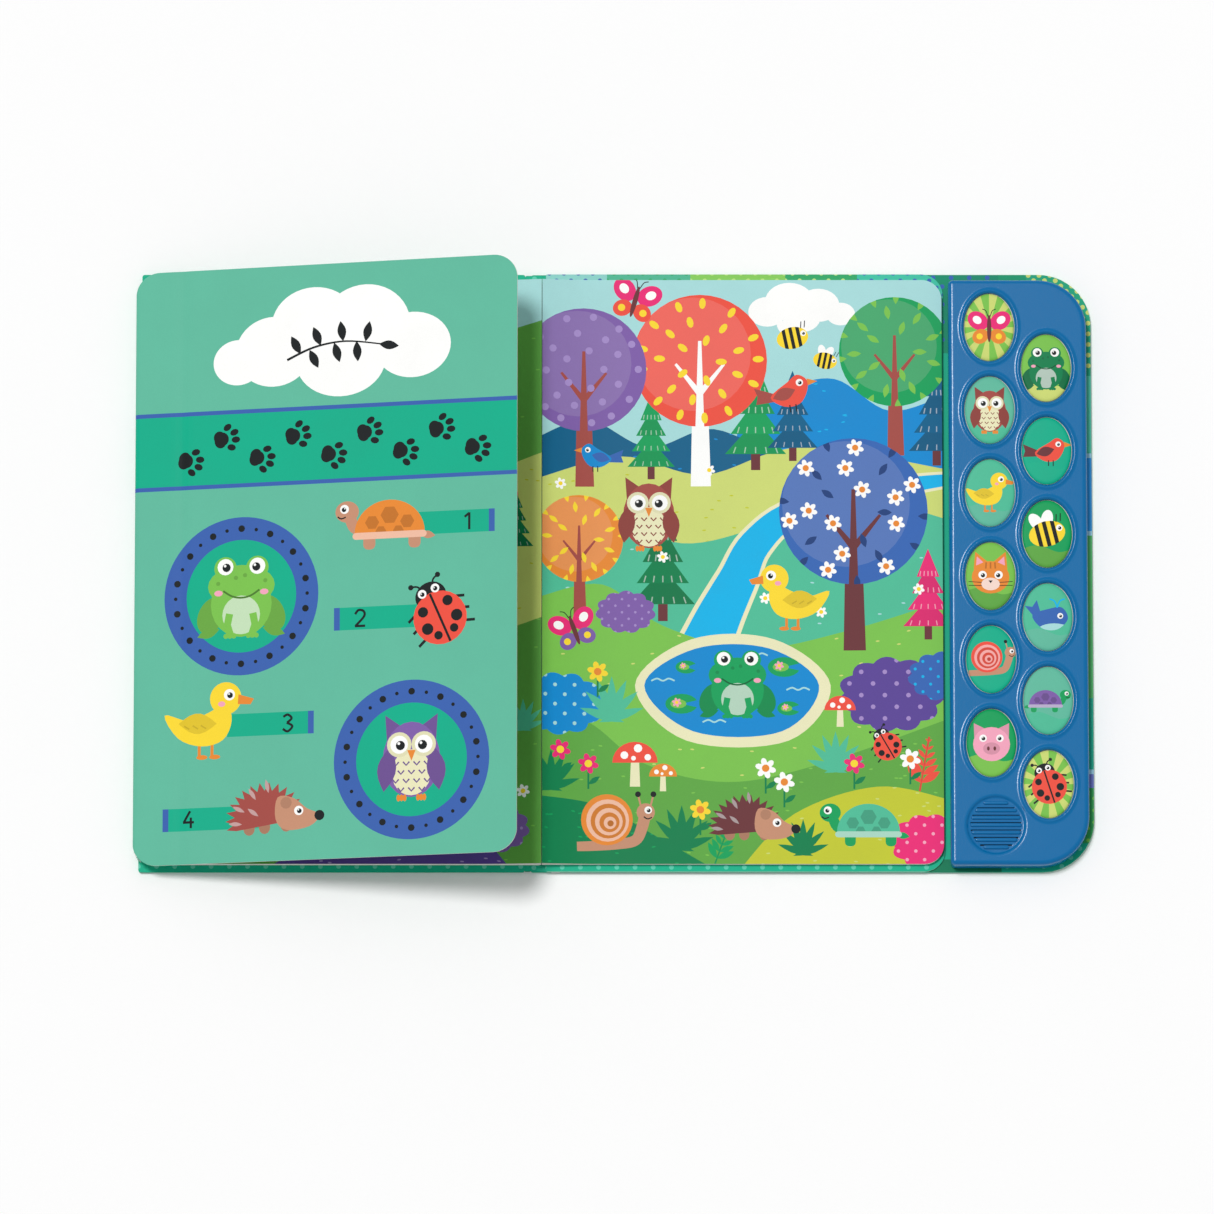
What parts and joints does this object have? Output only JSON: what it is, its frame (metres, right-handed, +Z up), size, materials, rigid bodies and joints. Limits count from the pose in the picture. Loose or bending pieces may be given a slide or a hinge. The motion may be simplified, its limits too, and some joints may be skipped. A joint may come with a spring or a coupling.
{
  "type": "sound book",
  "caption": "Open hard-cover board book with a fold-out card flap and a plastic sound module of oval picture buttons and a round slatted speaker grille beside the pages.",
  "frame": {"origin": "under the gutter, at the middle of the spine board's underside, on the table", "axes": "+X across the spread towards the sound module, +Y to the top of the pages, +Z up"},
  "size_m": [0.413, 0.261, 0.0539],
  "materials": {
    "printed_board": "satin",
    "printed_leaf": "satin",
    "flap_card": "satin",
    "blue_plastic": "gloss",
    "black_plastic": "matte",
    "picture_plastic": "gloss",
    "rubber": "matte",
    "contact_board": "satin",
    "steel": "satin",
    "cone_paper": "matte"
  },
  "bodies": {
    "case_back": {"back_cover": "printed_board", "end_board": "printed_board", "right_pages": "printed_leaf", "module_housing": "blue_plastic", "module_base": "black_plastic", "contact_mat": "rubber", "circuit_board": "contact_board", "sound_chip": "black_plastic", "speaker_frame": "steel", "speaker_cone": "cone_paper", "speaker_magnet": "steel", "button_cell_1": "steel", "button_cell_2": "steel", "button_cell_3": "steel", "battery_contact_upper": "steel", "battery_contact_lower": "steel", "battery_door": "black_plastic", "battery_door_screw": "steel", "housing_screw_1": "steel", "housing_screw_2": "steel", "housing_screw_3": "steel", "housing_screw_4": "steel"},
    "spine": {"spine_board": "printed_board"},
    "case_front": {"front_cover": "printed_board", "left_pages": "printed_leaf", "fold_out_flap": "flap_card"},
    "button_01": {"picture_button_01": "picture_plastic"},
    "button_02": {"picture_button_02": "picture_plastic"},
    "button_03": {"picture_button_03": "picture_plastic"},
    "button_04": {"picture_button_04": "picture_plastic"},
    "button_05": {"picture_button_05": "picture_plastic"},
    "button_06": {"picture_button_06": "picture_plastic"},
    "button_07": {"picture_button_07": "picture_plastic"},
    "button_08": {"picture_button_08": "picture_plastic"},
    "button_09": {"picture_button_09": "picture_plastic"},
    "button_10": {"picture_button_10": "picture_plastic"},
    "button_11": {"picture_button_11": "picture_plastic"},
    "button_12": {"picture_button_12": "picture_plastic"}
  },
  "joints": [
    {"name": "cover_hinge", "type": "hinge", "parent": "case_back", "child": "case_front", "pos_m": [0, 0, 0.0061], "axis": [0, 1, 0], "range_deg": [0, 180], "deforming": ["fold_out_flap"]},
    {"name": "spine_hinge", "type": "hinge", "parent": "case_back", "child": "spine", "pos_m": [0.00198, 0, 0.00413], "axis": [0, 1, 0], "range_deg": [0, 90]},
    {"name": "button_01_press", "type": "slide", "parent": "case_back", "child": "button_01", "axis": [0, 0, -1], "range_m": [0, 0.001], "stiffness_N_per_m": 700},
    {"name": "button_02_press", "type": "slide", "parent": "case_back", "child": "button_02", "axis": [0, 0, -1], "range_m": [0, 0.001], "stiffness_N_per_m": 700},
    {"name": "button_03_press", "type": "slide", "parent": "case_back", "child": "button_03", "axis": [0, 0, -1], "range_m": [0, 0.001], "stiffness_N_per_m": 700},
    {"name": "button_04_press", "type": "slide", "parent": "case_back", "child": "button_04", "axis": [0, 0, -1], "range_m": [0, 0.001], "stiffness_N_per_m": 700},
    {"name": "button_05_press", "type": "slide", "parent": "case_back", "child": "button_05", "axis": [0, 0, -1], "range_m": [0, 0.001], "stiffness_N_per_m": 700},
    {"name": "button_06_press", "type": "slide", "parent": "case_back", "child": "button_06", "axis": [0, 0, -1], "range_m": [0, 0.001], "stiffness_N_per_m": 700},
    {"name": "button_07_press", "type": "slide", "parent": "case_back", "child": "button_07", "axis": [0, 0, -1], "range_m": [0, 0.001], "stiffness_N_per_m": 700},
    {"name": "button_08_press", "type": "slide", "parent": "case_back", "child": "button_08", "axis": [0, 0, -1], "range_m": [0, 0.001], "stiffness_N_per_m": 700},
    {"name": "button_09_press", "type": "slide", "parent": "case_back", "child": "button_09", "axis": [0, 0, -1], "range_m": [0, 0.001], "stiffness_N_per_m": 700},
    {"name": "button_10_press", "type": "slide", "parent": "case_back", "child": "button_10", "axis": [0, 0, -1], "range_m": [0, 0.001], "stiffness_N_per_m": 700},
    {"name": "button_11_press", "type": "slide", "parent": "case_back", "child": "button_11", "axis": [0, 0, -1], "range_m": [0, 0.001], "stiffness_N_per_m": 700},
    {"name": "button_12_press", "type": "slide", "parent": "case_back", "child": "button_12", "axis": [0, 0, -1], "range_m": [0, 0.001], "stiffness_N_per_m": 700}
  ],
  "couplings": [
    {"joint": "spine_hinge", "follows": "cover_hinge", "ratio": 0.5}
  ]
}
